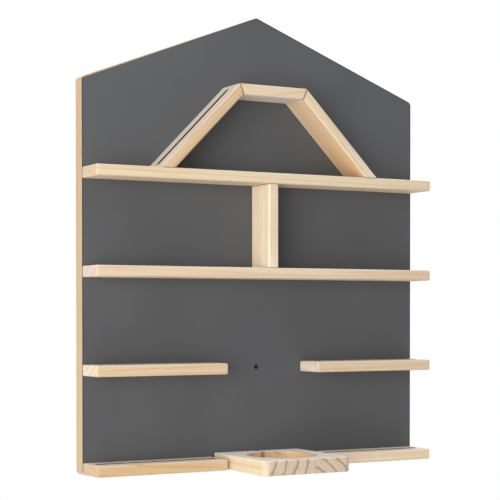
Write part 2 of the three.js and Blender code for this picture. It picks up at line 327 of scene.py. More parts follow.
def copy_to(piece, name, place, turn=(0, 0, 0)):
    """A copy with its own mesh, turned and moved to a place."""
    copy = piece.copy()
    copy.data = piece.data.copy()
    copy.name = name
    bpy.context.scene.collection.objects.link(copy)
    copy.rotation_euler = turn
    copy.location = place
    return settle(copy)


def smooth(piece, angle=SMOOTH_ANGLE):
    """Smooth shading over the rounded edges, with the flat faces kept flat."""
    only(piece)
    bpy.ops.object.shade_smooth_by_angle(angle=math.radians(angle))
    apply_modifier(piece, "WEIGHTED_NORMAL", keep_sharp=True, weight=100)


def dress(piece, node, finish):
    """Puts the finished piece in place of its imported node."""
    piece.data.materials.clear()
    piece.data.materials.append(finish)
    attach(piece, "root")
    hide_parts(node)


# Wood screws

BACKWARDS = (-math.pi / 2, 0, 0)  # turns a piece that stands on Z so that its top faces the wall


def nodes_named(start):
    """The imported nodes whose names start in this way, in order."""
    return sorted(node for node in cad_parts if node.startswith(start))


def screw_nodes(names):
    """The wood screws that hold each of these pieces."""
    return [node for name in names for node in nodes_named(f"screw_{name}_")]


def screw_place(node):
    """The middle of a screw head's face."""
    low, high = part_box(node)
    return Vector(((low.x + high.x) / 2, high.y, (low.z + high.z) / 2))


def screw_hole():
    """The cutter for a wood screw's countersunk hole, in whatever the screw goes through."""
    gap = FIT_GAP
    profile = [(SCREW_HOLE_POINT, -SCREW_LENGTH - gap),
               (SCREW_CREST + gap, -SCREW_LENGTH + SCREW_TIP),
               (SCREW_CREST + gap, -SCREW_HEAD_HEIGHT), (SCREW_HEAD + gap, -SCREW_HEAD_RIM),
               (SCREW_HEAD + gap, OVERRUN)]
    return turned("screw_hole", profile, SCREW_HOLE_SIDES)


def drive_cutters(width, blade, depth):
    """The two crossed blades of a cross recess, tapering to its bottom."""
    cutters = []
    for turn in (0, math.pi / 2):
        cutter = block("drive", (-width / 2, -blade / 2, -depth),
                       (width / 2, blade / 2, DRIVE_ABOVE))
        only(cutter)
        bpy.ops.object.mode_set(mode="EDIT")
        choose_faces(cutter, lambda face: face.normal.z < -PARALLEL)
        bpy.ops.transform.resize(value=DRIVE_TAPER, center_override=(0, 0, -depth))
        bpy.ops.object.mode_set(mode="OBJECT")
        cutter.rotation_euler = (0, 0, turn)
        cutters.append(settle(cutter))
    return cutters


def threaded(piece, core, crest, low, high, pitch):
    """Winds a thread of triangular section round the piece between two heights."""
    depth = crest - core
    start = (core + THREAD_LIFT * depth, 0, low)
    bpy.ops.object.select_all(action="DESELECT")
    bpy.ops.mesh.primitive_circle_add(vertices=3, radius=depth, location=start,
                                      rotation=(math.pi / 2, math.pi / 2, 0))
    ridge = settle(bpy.context.object)
    turns = round((high - low) / pitch)
    apply_modifier(ridge, "SCREW", axis="Z", screw_offset=pitch, iterations=turns,
                   steps=THREAD_STEPS, render_steps=THREAD_STEPS)
    only(ridge)
    bpy.ops.object.mode_set(mode="EDIT")
    bpy.ops.mesh.select_mode(type="EDGE")
    bpy.ops.mesh.select_all(action="DESELECT")
    bpy.ops.mesh.select_non_manifold()
    bpy.ops.mesh.fill_holes(sides=3)
    bpy.ops.mesh.select_all(action="SELECT")
    bpy.ops.mesh.normals_make_consistent(inside=False)
    bpy.ops.object.mode_set(mode="OBJECT")
    return joined([piece, ridge])


def screw_body(name, profile, sides, drive, *thread):
    """A turned screw with its cross recess and thread: core, crest, low end, high end, pitch."""
    body = turned(name, profile, sides)
    for cutter in drive_cutters(*drive):
        cut(body, [cutter])
    body = threaded(body, *thread)
    smooth(body, SCREW_SMOOTH_ANGLE)
    return body


def wood_screw():
    """A countersunk wood screw that stands on its point, with its head's face at Z 0."""
    low = -SCREW_LENGTH + SCREW_TIP
    high = low + SCREW_THREAD
    profile = [(SCREW_POINT, -SCREW_LENGTH), (SCREW_CORE, low), (SCREW_CORE, high),
               (SCREW_SHANK, high + THREAD_RUN_OUT), (SCREW_SHANK, -SCREW_HEAD_HEIGHT - SCREW_NECK),
               (SCREW_HEAD - SCREW_HEAD_ARRIS, -SCREW_HEAD_RIM),
               (SCREW_HEAD, -SCREW_HEAD_RIM + SCREW_RIM_ARRIS), (SCREW_HEAD, -SCREW_HEAD_ARRIS),
               (SCREW_HEAD - SCREW_HEAD_ARRIS, 0)]
    return screw_body("wood_screw", profile, SCREW_SIDES, SCREW_DRIVE,
                      SCREW_CORE, SCREW_CREST, low, high - THREAD_RUN_OUT, SCREW_PITCH)


def hanger_screw():
    """One of the small screws that hold a hanger, in the same stance."""
    low = -HANGER_SCREW_LENGTH + HANGER_SCREW_TIP
    neck = -HANGER_SCREW_HEAD_HEIGHT - HANGER_SCREW_NECK
    ease = HANGER_SCREW_ARRIS
    profile = [(SCREW_POINT, -HANGER_SCREW_LENGTH), (HANGER_SCREW_CORE, low),
               (HANGER_SCREW_CORE, neck - HANGER_SCREW_SHOULDER), (HANGER_SCREW_SHANK - ease, neck),
               (HANGER_SCREW_HEAD, -HANGER_SCREW_RIM), (HANGER_SCREW_HEAD, -ease / 2),
               (HANGER_SCREW_HEAD - ease, 0)]
    return screw_body("small_screw", profile, HANGER_SCREW_SIDES, HANGER_SCREW_DRIVE,
                      HANGER_SCREW_CORE, HANGER_SCREW_SHANK, low, neck - THREAD_RUN_OUT,
                      HANGER_SCREW_PITCH)


# Board, facing, strips, holder and hangers

def house_panel(name, node, arris):
    """A panel in the house's outline: an upright rectangle whose top edge is raised to a ridge."""
    low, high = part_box(node)
    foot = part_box("back_board")[0].z
    panel = block(name, (low.x, low.y, foot), (high.x, high.y, foot + EAVE_HEIGHT))
    only(panel)
    bpy.ops.object.mode_set(mode="EDIT")
    bpy.ops.mesh.select_all(action="SELECT")
    bpy.ops.mesh.bisect(plane_co=(0, 0, 0), plane_no=(1, 0, 0))
    in_middle = lying_at(X, 0)
    choose_edges(panel, passing(in_middle, running(Y), lying_at(Z, foot + EAVE_HEIGHT)))
    bpy.ops.transform.translate(value=(0, 0, RIDGE_HEIGHT - EAVE_HEIGHT))
    at_ridge = lying_at(Z, foot + RIDGE_HEIGHT)
    choose_edges(panel, passing(in_middle, lambda a, b: not at_ridge(a, b)))
    bpy.ops.mesh.dissolve_edges()
    bpy.ops.object.mode_set(mode="OBJECT")

    # Corners of one radius: each is cut back by the tangent of half its turn.
    pitch = math.atan2(RIDGE_HEIGHT - EAVE_HEIGHT, high.x)
    corners = [(foot, math.pi / 2), (foot + EAVE_HEIGHT, math.pi / 2 - pitch),
               (foot + RIDGE_HEIGHT, 2 * pitch)]
    for height, turn in corners:
        round_edges(panel, BOARD_CORNER * math.tan(turn / 2), CORNER_STEPS,
                    passing(lying_at(Z, height), running(Y)))
    round_edges(panel, arris, BOARD_ARRIS_STEPS, lying_at(Y, low.y, high.y))
    return panel


def hole_middle():
    """The middle of the wall screw's hole: level with the two lower shelves."""
    return Vector((0, 0, sum(corner.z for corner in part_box("lower_shelf_left")) / 2))


def wall_hole():
    """The cutter for the hole right through board and facing."""
    profile = [(WALL_HOLE / 2, -WALL_HOLE_REACH), (WALL_HOLE / 2, OVERRUN)]
    hole = turned("wall_hole", profile, WALL_HOLE_SIDES)
    hole.rotation_euler = BACKWARDS
    hole.location = hole_middle()
    return settle(hole)


def fastener_holes(hole, nodes):
    """Copies of a screw hole's cutter, where each of these screws goes."""
    return [copy_to(hole, "hole", screw_place(node), BACKWARDS) for node in nodes]


def planed_strip(name, length, mitres=None):
    """A planed length with its outer face at Z 0 and its back at Y 0, sawn to any mitres.

    It is rounded all round on stock that is too deep, and then sawn along its back, so that the
    edges that lie against the facing stay crisper.
    """
    spare = STRIP_THICKNESS
    end = length / 2 + (spare if mitres else 0)
    strip = block(name, (-end, -STRIP_DEPTH, -STRIP_THICKNESS), (end, spare, 0))
    round_edges(strip, STRIP_ARRIS, STRIP_ARRIS_STEPS, running(X))
    if not mitres:
        round_edges(strip, STRIP_END_ARRIS, STRIP_END_STEPS, lying_at(X, -end, end))
    saw(strip, (0, 0, 0), (0, 1, 0))
    round_edges(strip, STRIP_BACK_ARRIS, STRIP_BACK_STEPS, lying_at(Y, 0))
    if not mitres:
        return strip
    for side, (angle, gap) in zip((-1, 1), mitres):
        point = Vector((side * (length / 2 - gap / math.cos(angle)), 0, 0))
        normal = Vector((side * math.cos(angle), 0, -math.sin(angle)))
        saw(strip, point, normal)
        round_edges(strip, MITRE_ARRIS, SMALL_ARRIS_STEPS, lying_on(point, normal))
    return strip


def slot_bar(name, length, width, top, bottom):
    """A bar with round ends in the middle of a strip's outer face: the tape, or its cutter."""
    middle = -STRIP_DEPTH / 2
    bar = block(name, (-length / 2, middle - width / 2, bottom),
                (length / 2, middle + width / 2, top))
    round_edges(bar, ROUND_END * width / 2, CORNER_STEPS, running(Z))
    return bar


def groove(strip, length):
    """Routs a strip's stopped groove and eases its mouth."""
    cut(strip, [slot_bar("router", length, GROOVE_WIDTH, OVERRUN, -GROOVE_DEPTH)])
    middle = Vector((0, -STRIP_DEPTH / 2, 0))
    reach = Vector((length / 2, GROOVE_WIDTH / 2, 0)) + Vector((TOUCH, TOUCH, TOUCH))

    def at_mouth(*ends):
        return all(abs((end - middle)[axis]) < reach[axis] for end in ends for axis in (X, Y, Z))

    round_edges(strip, GROOVE_ARRIS, SMALL_ARRIS_STEPS, at_mouth)


def tape(name, length):
    """The tape of a strip of this length, a hair proud of the strip's face."""
    top = TAPE_THICKNESS + FIT_GAP - GROOVE_DEPTH
    piece = slot_bar(name, length - 2 * FIT_GAP, GROOVE_WIDTH - 2 * FIT_GAP, top,
                     top - TAPE_THICKNESS)
    round_edges(piece, TAPE_ARRIS, SMALL_ARRIS_STEPS, lying_at(Z, top))
    return piece


def seat_strip(piece, start, end):
    """Moves a piece from a strip's own frame to the line that the strip's outer face follows."""
    run = end - start
    piece.location = (start + end) / 2
    piece.rotation_euler = (0, -math.atan2(run.z, run.x), 0)
    return settle(piece)


def holder(name, hole):
    """The square block with round front corners, a round recess and a slot for a cable."""
    low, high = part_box("base_holder")
    piece = block(name, low, high)
    round_edges(piece, HOLDER_FRONT_CORNER, HOLDER_FRONT_STEPS,
                passing(running(Z), lying_at(Y, low.y)))
    round_edges(piece, HOLDER_BACK_CORNER, HOLDER_BACK_STEPS,
                passing(running(Z), lying_at(Y, high.y)))
    round_edges(piece, HOLDER_ARRIS, HOLDER_ARRIS_STEPS, lying_at(Z, low.z, high.z))

    middle = Vector((0, (low.y + high.y) / 2, high.z))
    radius = RECESS_WIDTH / 2
    turns = [i * math.pi / 2 / RECESS_ARRIS_STEPS for i in range(RECESS_ARRIS_STEPS + 1)]
    lip = [(radius + RECESS_ARRIS * (1 - math.cos(turn)), -RECESS_ARRIS * (1 - math.sin(turn)))
           for turn in turns]
    profile = [(radius - RECESS_FILLET, -RECESS_DEPTH), (radius, -RECESS_DEPTH + RECESS_FILLET),
               *lip, (radius + RECESS_ARRIS, OVERRUN)]
    recess = turned("recess", profile, RECESS_SIDES)
    recess.location = middle
    cut(piece, [settle(recess)])
    slot = block("slot", (-CABLE_SLOT_WIDTH / 2, middle.y, high.z - RECESS_DEPTH),
                 (CABLE_SLOT_WIDTH / 2, high.y + OVERRUN, high.z + OVERRUN))
    cut(piece, [slot])
    cut(piece, fastener_holes(hole, screw_nodes(["holder"])))
    return piece


def rounded_plate(name, low, high, corner):
    """A plate in the XZ plane with round corners."""
    plate = block(name, low, high)
    round_edges(plate, corner, CORNER_STEPS, running(Y))
    return plate


def keyhole_cutters(centre, face):
    """Cutters for the keyhole: its round entry, then the slot above it."""
    profile = [(KEYHOLE_WIDTH / 2, -PLATE_CUT), (KEYHOLE_WIDTH / 2, OVERRUN)]
    entry = turned("entry", profile, KEYHOLE_SIDES)
    entry.rotation_euler = BACKWARDS
    entry.location = (centre.x, face, centre.z - KEYHOLE_TRAVEL / 2)
    half = KEYHOLE_SLOT / 2
    reach = KEYHOLE_TRAVEL / 2 + half
    slot = rounded_plate("travel", (centre.x - half, face - PLATE_CUT, centre.z - reach),
                         (centre.x + half, face + OVERRUN, centre.z + reach), ROUND_END * half)
    return settle(entry), slot


def hanger_screw_nodes(side):
    """The small screws that hold this side's hanger."""
    return nodes_named(f"hanger_screw_{side}_")


def hanger_screw_hole():
    """The cutter for a small screw's hole, in the hanger and in the board."""
    gap = FIT_GAP
    profile = [(HANGER_SCREW_HOLE_POINT, -HANGER_SCREW_LENGTH - gap),
               (HANGER_SCREW_SHANK + gap, -HANGER_SCREW_LENGTH + HANGER_SCREW_TIP),
               (HANGER_SCREW_SHANK + gap, -HANGER_SCREW_HEAD_HEIGHT),
               (HANGER_SCREW_HEAD + gap, -HANGER_SCREW_RIM), (HANGER_SCREW_HEAD + gap, OVERRUN)]
    return turned("small_hole", profile, SCREW_HOLE_SIDES)


def hanger(side, hole):
    """A keyhole plate with its two screw holes and eased edges."""
    low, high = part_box(f"hanger_{side}")
    plate = rounded_plate(f"keyhole_plate_{side}", low, high, HANGER_CORNER)
    for cutter in keyhole_cutters((low + high) / 2, high.y):
        cut(plate, [cutter])
    cut(plate, fastener_holes(hole, hanger_screw_nodes(side)))
    apply_modifier(plate, "BEVEL", width=HANGER_ARRIS, segments=SMALL_ARRIS_STEPS,
                   limit_method="ANGLE", angle_limit=math.radians(PLATE_EDGE_ANGLE))
    return plate


def seat_hanger(board, side, hole):
    """Lets a hanger into the board's back: seat, pocket behind the keyhole and pilot holes."""
    low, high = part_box(f"hanger_{side}")
    gap = Vector((FIT_GAP, FIT_GAP, FIT_GAP))
    top = Vector((0, OVERRUN, 0))
    cut(board, [rounded_plate("seat", low - gap, high + gap + top, HANGER_CORNER + FIT_GAP)])
    centre = (low + high) / 2
    half = Vector((KEYHOLE_WIDTH / 2, 0, (KEYHOLE_WIDTH + KEYHOLE_TRAVEL) / 2))
    half += Vector((POCKET_MARGIN, 0, POCKET_MARGIN))
    pocket_low = Vector((centre.x, -POCKET_DEPTH, centre.z)) - half
    pocket_high = Vector((centre.x, OVERRUN, centre.z)) + half
    cut(board, [rounded_plate("pocket", pocket_low, pocket_high, ROUND_END * half.x)])
    cut(board, fastener_holes(hole, hanger_screw_nodes(side)))


# Finishes

class Wire:
    """A value inside a finish. Arithmetic on it adds Math nodes."""

    def __init__(self, finish, socket):
        self.finish = finish
        self.socket = socket

    def __getitem__(self, output):
        """Another output of the same node."""
        return Wire(self.finish, self.socket.node.outputs[output])

    def maths(self, operation, *values):
        """A Math node on wires or numbers."""
        inputs = dict(zip(("Value", "Value_001", "Value_002"), values))
        return self.finish.node("ShaderNodeMath", {"operation": operation}, inputs)

    def __add__(self, other):
        return self.maths("ADD", self, other)

    def __radd__(self, other):
        return self.maths("ADD", other, self)

    def __sub__(self, other):
        return self.maths("SUBTRACT", self, other)

    def __rsub__(self, other):
        return self.maths("SUBTRACT", other, self)

    def __mul__(self, other):
        return self.maths("MULTIPLY", self, other)

    def __rmul__(self, other):
        return self.maths("MULTIPLY", other, self)

    def __truediv__(self, other):
        return self.maths("DIVIDE", self, other)

    def __rtruediv__(self, other):
        return self.maths("DIVIDE", other, self)

    def __gt__(self, other):
        return self.maths("GREATER_THAN", self, other)

    def __lt__(self, other):
        return self.maths("LESS_THAN", self, other)

    def __abs__(self):
        return self.maths("ABSOLUTE", self)

    def root(self):
        """The square root."""
        return self.maths("SQRT", self)

    def part(self):
        """What is left over the whole number below it."""
        return self.maths("FRACT", self)

    def rise(self, start, end):
        """0 up to start and 1 from end, with a smooth step between them."""
        return self.finish.node("ShaderNodeMapRange", {"interpolation_type": "SMOOTHSTEP"},
                                {"Value": self, "From Min": start, "From Max": end})


class Finish:
    """The nodes of a material or of the world."""

    def __init__(self, owner):
        owner.use_nodes = True
        self.tree = owner.node_tree
        self.tree.nodes.clear()

    def node(self, kind, settings=None, inputs=None, output=0):
        """Adds a node: its settings first, then the values or wires of its inputs."""
        node = self.tree.nodes.new(kind)
        for name, value in (settings or {}).items():
            setattr(node, name, value)
        sockets = {socket.identifier: socket for socket in node.inputs}
        for name, value in (inputs or {}).items():
            if isinstance(value, Wire):
                self.tree.links.new(value.socket, sockets[name])
            else:
                sockets[name].default_value = value
        return None if output is None else Wire(self, node.outputs[output])

    def mix(self, share, first, second):
        """Goes from the first colour to the second one as the share rises."""
        return self.node("ShaderNodeMix", {"data_type": "RGBA"},
                         {"Factor_Float": share, "A_Color": first, "B_Color": second}, output=2)

    def noise(self, place, scale, detail=2.0, roughness=0.5, shift=0.0):
        """Cloudy noise of about 0.3 to 0.7, with its own scale along each axis."""
        shifts = (shift, shift, shift)
        stretched = self.node("ShaderNodeVectorMath", {"operation": "MULTIPLY_ADD"},
                              {"Vector": place, "Vector_001": scale, "Vector_002": shifts})
        return self.node("ShaderNodeTexNoise", {}, {"Vector": stretched, "Scale": 1.0,
                                                    "Detail": detail, "Roughness": roughness})

    def dot(self, first, second):
        """How far one vector reaches along the other one."""
        return self.node("ShaderNodeVectorMath", {"operation": "DOT_PRODUCT"},
                         {"Vector": first, "Vector_001": second}, output=1)

    def bump(self, height, distance, strength):
        """Small relief that only the light sees."""
        return self.node("ShaderNodeBump", {},
                         {"Height": height, "Distance": distance, "Strength": strength})

    def surface(self, **inputs):
        """The finish's shader. Inputs are named as on the shader, with _ for a space."""
        named = {name.replace("_", " "): value for name, value in inputs.items()}
        shader = self.node("ShaderNodeBsdfPrincipled", {}, named)
        self.node("ShaderNodeOutputMaterial", {}, {"Surface": shader}, output=None)


def paint(hex_colour):
    """A colour as it looks on a screen, from its six-digit hex number."""
    shares = [int(hex_colour[i:i + 2], 16) / 255 for i in (0, 2, 4)]
    light = [s / 12.92 if s <= 0.04045 else ((s + 0.055) / 1.055) ** 2.4 for s in shares]
    return (*light, 1.0)


# Wood

END_GRAIN = paint("c4bbad")
# Painted shade inside the board's wall hole
HOLE_SHADE = paint("2b2a2a")
# Darker line along the front of the mitre seams
SEAM_DARK = paint("85523a")
# Painted warm shade on the strips' undersides
UNDERSIDE_SHADE = paint("dca86a")
# Painted sheen on faces that look up, and on the roof top's underside
PAINTED_SHEEN = paint("fafafa")
AMBER = paint("c9955c")

# How often each figure of the grain comes back in a metre: along it, across it and upwards
WANDER = (3, 9, 9)
UNEVEN = (1.5, 45, 45)
BANDS = (2.5, 60, 60)
STREAKS = (6, 380, 380)
FIBRES = (50, 2400, 2400)
PORES = (40, 700, 700)

# Shares of a year's growth over which the late wood darkens on a planed face and on a sawn end,
# and over which it stops
PLANED_YEAR = (0.78, 0.93)
SAWN_YEAR = (0.6, 0.95)
YEAR_END = (0.94, 0.98)

# Distances over which a tint fades out: from a glue line between two boards, from the middle of
# a mitre's seam, from the strip's front along that seam, and from the wall of a hole, which in the
# board's wall hole is painted shade
GLUE_FADE = (0.1 * MM, 0.4 * MM)
SEAM_FADE = (0.6 * MM, 0.95 * MM)
SEAM_FRONT_FADE = (0.5 * MM, 4 * MM)
HOLE_FADE = (0.1 * MM, 0.3 * MM)


def pine(name, centre, turn, hearts, drift, seed, pale, warm, deep, line, end_line=0.45,
         streak=0.3, sawn_end=END_GRAIN, joints=(), upper=None, lower=None, hollow=None, seams=()):
    """Planed pine.

    centre and turn place the grain's own frame, whose X runs along the grain. hearts holds, in
    millimetres, (across, up, ring) for each board that is glued up side by side: where the middle
    of its tree lay in that frame, and how wide a year's growth is. joints says where those boards
    meet. drift is how far the rings move over each metre of length, and seed tells one piece's
    grain from another's. pale, warm and deep are the colours of the early wood, of its broad
    bands and of the late wood, and sawn_end is that of a sawn end, with painted light for that
    piece's ends in it. line and end_line say how dark the late wood is on planed faces and on
    sawn ends, and streak how dark the thin streaks are. upper and lower are (colour, share,
    growth): painted light on the faces that look up and down in the grain's frame, painted sheen
    on some pieces and painted shade on others, and how much its share grows over each metre of
    length. hollow is (middle, radius, axis, colour, share) for the wall of a round hole; in the
    board's wall hole that is painted shade. seams are the planes, as (point, normal), along
    which the front is darkened.
    """
    material = bpy.data.materials.new(name)
    finish = Finish(material)
    coordinates = finish.node("ShaderNodeTexCoord")
    grain = finish.node("ShaderNodeMapping", {"vector_type": "TEXTURE"},
                        {"Vector": coordinates["Object"], "Location": centre, "Rotation": turn})
    axes = finish.node("ShaderNodeSeparateXYZ", {}, {"Vector": grain})
    along, across, up = axes["X"], axes["Y"], axes["Z"]

    hearts = [[value * MM for value in heart] for heart in hearts]
    heart_across, heart_up, ring = hearts[0]
    glue = 0.0
    for joint, before, after in zip(joints, hearts, hearts[1:]):
        past = across > joint * MM
        heart_across, heart_up, ring = (
            past * (new - old) + value
            for old, new, value in zip(before, after, (heart_across, heart_up, ring)))
        glue = 1 - abs(across - joint * MM).rise(*GLUE_FADE) + glue

    # Year rings round the heart, which wanders a little along the trunk
    wander = (finish.noise(grain, WANDER, shift=seed) - 0.5) * (1.2 * ring)
    uneven = (finish.noise(grain, UNEVEN, shift=seed + 5) - 0.5) * 0.6
    side, height = across - heart_across, up - heart_up
    radius = (side * side + height * height).root() + along * drift + wander
    season = (radius / ring + uneven).part()

    # Broad bands, thin streaks and single fibres, all drawn out along the grain
    bands = finish.noise(grain, BANDS, shift=seed + 11).rise(0.35, 0.65)
    streaks = finish.noise(grain, STREAKS, 3.0, 0.6, shift=seed + 17).rise(0.5, 0.75)
    fibres = finish.noise(grain, FIBRES, shift=seed + 23)

    # Sawn ends look greyer than the planed faces. Each piece sets its sawn_end colour, which also
    # carries painted light for its ends.
    grain_axis, _, up_axis = Euler(turn).to_matrix().transposed()
    sawn = abs(finish.dot(coordinates["Normal"], grain_axis)).rise(0.75, 0.95)

    # Late wood darkens slowly and stops short. A sawn end shows more of that than a planed face.
    sudden, gradual = season.rise(*PLANED_YEAR), season.rise(*SAWN_YEAR)
    late = (sawn * (gradual - sudden) + sudden) * (1 - season.rise(*YEAR_END))

    colour = finish.mix(bands, pale, warm)
    # Painted light on the faces that look up and down: painted sheen and painted shade, as each
    # piece sets them
    for tint, outwards in ((upper, up_axis), (lower, -up_axis)):
        if tint:
            face_tint, share, growth = tint
            towards = finish.dot(coordinates["Normal"], outwards).rise(0.3, 0.9)
            colour = finish.mix(towards * (along * growth + share), colour, face_tint)
    colour = finish.mix(sawn * 0.6, colour, sawn_end)
    pores = finish.noise(grain, PORES, shift=seed + 29).rise(0.5, 0.65)
    colour = finish.mix(sawn * pores * 0.25, colour, deep)
    colour = finish.mix(streaks * streak, colour, deep)
    colour = finish.mix(late * (sawn * (end_line - line) + line), colour, deep)
    colour = finish.mix(fibres.rise(0.4, 0.7) * 0.1, colour, deep)
    if joints:
        colour = finish.mix(glue * 0.5, colour, deep)
    # Darker along the front of each mitre's seam
    for point, normal in seams:
        distance = abs(finish.dot(coordinates["Object"], normal) - point.dot(normal))
        near_seam = 1 - distance.rise(*SEAM_FADE)
        near_front = 1 - (across + STRIP_DEPTH / 2).rise(*SEAM_FRONT_FADE)
        colour = finish.mix(near_seam * near_front, colour, SEAM_DARK)
    # A round hole's wall gets its own tint; the board's wall hole is given painted shade there
    if hollow:
        middle, size, axis, tint, share = hollow
        place = finish.node("ShaderNodeSeparateXYZ", {}, {"Vector": coordinates["Object"]})
        side, height = (place[other] - middle["XYZ".index(other)]
                        for other in "XYZ" if other != axis)
        limits = (size + fade for fade in HOLE_FADE)
        beyond = (side * side + height * height).root().rise(*limits)
        colour = finish.mix((1 - beyond) * share, colour, tint)
    relief = fibres * 0.6 + late * 0.5 + streaks * 0.3
    finish.surface(
        Base_Color=colour, Roughness=0.5 - late * 0.08 + fibres * 0.12, Specular_IOR_Level=0.4,
        Sheen_Weight=0.15, Normal=finish.bump(relief, 0.06 * MM, 0.35))
    return material


def strip_pine(name, start, end, **wood):
    """Pine for one strip, with its grain along the strip, a pale painted sheen on its top and
    painted warm shade on its underside.
    """
    run = end - start
    lean = (0, -math.atan2(run.z, run.x), 0)
    to_middle = Vector((0, -STRIP_DEPTH / 2, -STRIP_THICKNESS / 2))
    middle = (start + end) / 2 + Euler(lean).to_matrix() @ to_middle
    # Painted sheen on the top faces and painted shade on the undersides
    painted_light = {"upper": (PAINTED_SHEEN, 0.35, 0), "lower": (UNDERSIDE_SHADE, 0.25, 0)}
    return pine(name, middle, lean, **{**painted_light, **wood})


# Facing, tape and metal

# Painted shade along the facing's outer edge
FACING_EDGE_SHADE = (0.6 * MM, 1.9 * MM)  # how far in the facing's dark edge fades out


def facing_finish():
    """Matt dark sheet, even but for its faint orange-peel, with painted shade along its outer edge.
    """
    material = bpy.data.materials.new("dark_facing")
    finish = Finish(material)
    place = finish.node("ShaderNodeTexCoord")["Object"]
    axes = finish.node("ShaderNodeSeparateXYZ", {}, {"Vector": place})
    low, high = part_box("front_facing")
    half, slope = high.x, (RIDGE_HEIGHT - EAVE_HEIGHT) / high.x
    sideways = abs(axes["X"])
    from_side = half - sideways
    below_gable = low.z + RIDGE_HEIGHT - sideways * slope - axes["Z"]
    from_gable = below_gable * math.cos(math.atan(slope))
    edge_shade = 1 - from_side.maths("MINIMUM", from_side, from_gable).rise(*FACING_EDGE_SHADE)
    clouds = finish.noise(place, (9, 9, 9), 3.0)
    peel = finish.noise(place, (1400, 1400, 1400), 1.0)
    specks = finish.noise(place, (5200, 5200, 5200), 0.0)
    colour = finish.mix(clouds.rise(0.3, 0.7), paint("57585a"), paint("5b5c5e"))
    colour = finish.mix(specks.rise(0.6, 0.75) * 0.25, colour, paint("6a6a6b"))
    # Painted shade along the sheet's outer edge
    colour = finish.mix(edge_shade * 0.6, colour, paint("2b2624"))
    finish.surface(Base_Color=colour, Roughness=0.62 + peel * 0.1, Specular_IOR_Level=0.25,
                   Normal=finish.bump(peel, 0.02 * MM, 0.3))
    return material


def tape_finish():
    """Black magnetic tape: dead matt, like rubber that is filled with iron powder."""
    material = bpy.data.materials.new("magnetic_tape")
    finish = Finish(material)
    place = finish.node("ShaderNodeTexCoord")["Object"]
    grit = finish.noise(place, (3500, 3500, 3500), 2.0)
    wipes = finish.noise(place, (25, 400, 400), 2.0)
    colour = finish.mix(grit.rise(0.4, 0.7) * 0.6, paint("131110"), paint("201d1c"))
    finish.surface(Base_Color=colour, Roughness=0.75 + wipes * 0.2, Specular_IOR_Level=0.0,
                   Normal=finish.bump(grit, 0.02 * MM, 0.4))
    return material


def plated_finish(name, light, dark, tint):
    """Zinc plating: a cloudy passivated film over bright metal."""
    material = bpy.data.materials.new(name)
    finish = Finish(material)
    place = finish.node("ShaderNodeTexCoord")["Object"]
    clouds = finish.noise(place, (260, 260, 260), 3.0)
    grain = finish.noise(place, (2600, 2600, 500), 2.0)
    colour = finish.mix(clouds.rise(0.35, 0.65), paint(light), paint(dark))
    colour = finish.mix(clouds.rise(0.55, 0.7) * 0.5, colour, paint(tint))
    finish.surface(Base_Color=colour, Metallic=1.0, Roughness=0.26 + grain * 0.18,
                   Normal=finish.bump(grain, 0.01 * MM, 0.3))
    return material


# Assembly

def flat_strip(node):
    """The two ends of a level strip's line."""
    low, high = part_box(node)
    return Vector((low.x, high.y, high.z)), Vector((high.x, high.y, high.z))


post_low, post_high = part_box("divider_post")
post_line = (Vector((post_low.x, post_high.y, post_low.z)),
             Vector((post_low.x, post_high.y, post_high.z)))

roof_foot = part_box("roof_slope_left")[0]
roof_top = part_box("roof_top")[1].z
half_top = ROOF_TOP_LENGTH / 2
left_foot, right_foot = (Vector((side * roof_foot.x, STRIP_BACK, roof_foot.z)) for side in (1, -1))
left_knee, right_knee = (Vector((side * half_top, STRIP_BACK, roof_top)) for side in (-1, 1))
roof_rise = left_knee - left_foot
pitch = math.atan2(roof_rise.z, roof_rise.x)
at_knee = (pitch / 2, MITRE_GAP / 2)
at_foot = (math.pi / 2 - pitch, 0)

left_seam = (left_knee, Vector((math.cos(pitch / 2), 0, math.sin(pitch / 2))))
right_seam = (right_knee, Vector((math.cos(pitch / 2), 0, -math.sin(pitch / 2))))
